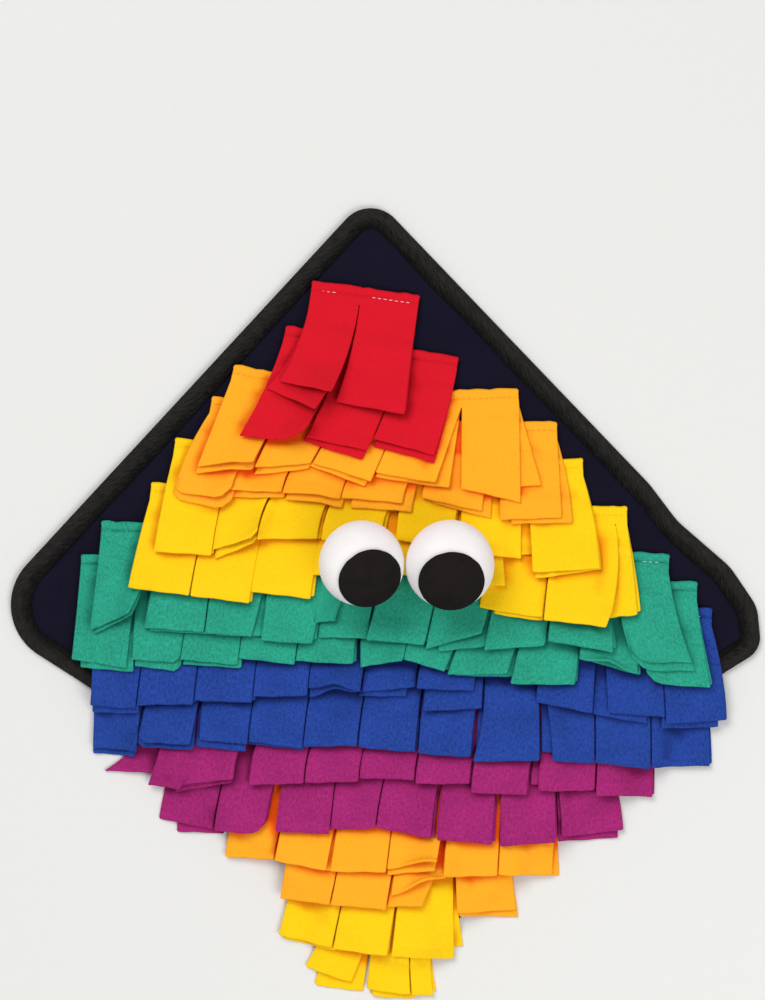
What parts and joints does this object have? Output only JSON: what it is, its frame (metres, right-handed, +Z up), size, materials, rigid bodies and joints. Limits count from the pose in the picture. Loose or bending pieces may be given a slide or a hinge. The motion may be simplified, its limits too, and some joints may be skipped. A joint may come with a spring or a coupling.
{
  "type": "snuffle mat",
  "caption": "Square snuffle mat lying face up with one corner forward, covered in rows of rainbow fleece flaps that overlap like feathers, with stuffed googly eyes on top and a bound edge.",
  "frame": {"origin": "on the surface that the mat lies on, under the middle of its box", "axes": "+Z up out of the mat's face, +Y towards the corner that carries no flaps, +X to the right of the face"},
  "size_m": [0.4057, 0.4283, 0.0607],
  "materials": {
    "navy_cloth": "smooth dark navy woven cloth",
    "black_tape": "black twill tape",
    "red_fleece": "soft matt fleece",
    "orange_fleece": "soft matt fleece",
    "yellow_fleece": "soft matt fleece",
    "green_fleece": "soft matt fleece with a short nap",
    "blue_fleece": "soft matt fleece with a short nap",
    "purple_fleece": "soft matt fleece with a short nap",
    "white_cloth": "smooth white brushed cloth",
    "black_felt": "matt black felt"
  },
  "bodies": {
    "root": {"panel": "navy_cloth", "binding": "black_tape", "strip_red_1": "red_fleece", "strip_red_2": "red_fleece", "strip_orange_1": "orange_fleece", "strip_orange_2": "orange_fleece", "strip_orange_3": "orange_fleece", "strip_orange_4": "orange_fleece", "strip_yellow_1": "yellow_fleece", "strip_yellow_2": "yellow_fleece", "strip_yellow_3": "yellow_fleece", "strip_yellow_4": "yellow_fleece", "strip_green_1": "green_fleece", "strip_green_2": "green_fleece", "strip_blue_1": "blue_fleece", "strip_blue_2": "blue_fleece", "strip_purple_1": "purple_fleece", "strip_purple_2": "purple_fleece", "eye_left": "white_cloth", "eye_right": "white_cloth", "pupil_left": "black_felt", "pupil_right": "black_felt"}
  },
  "joints": []
}
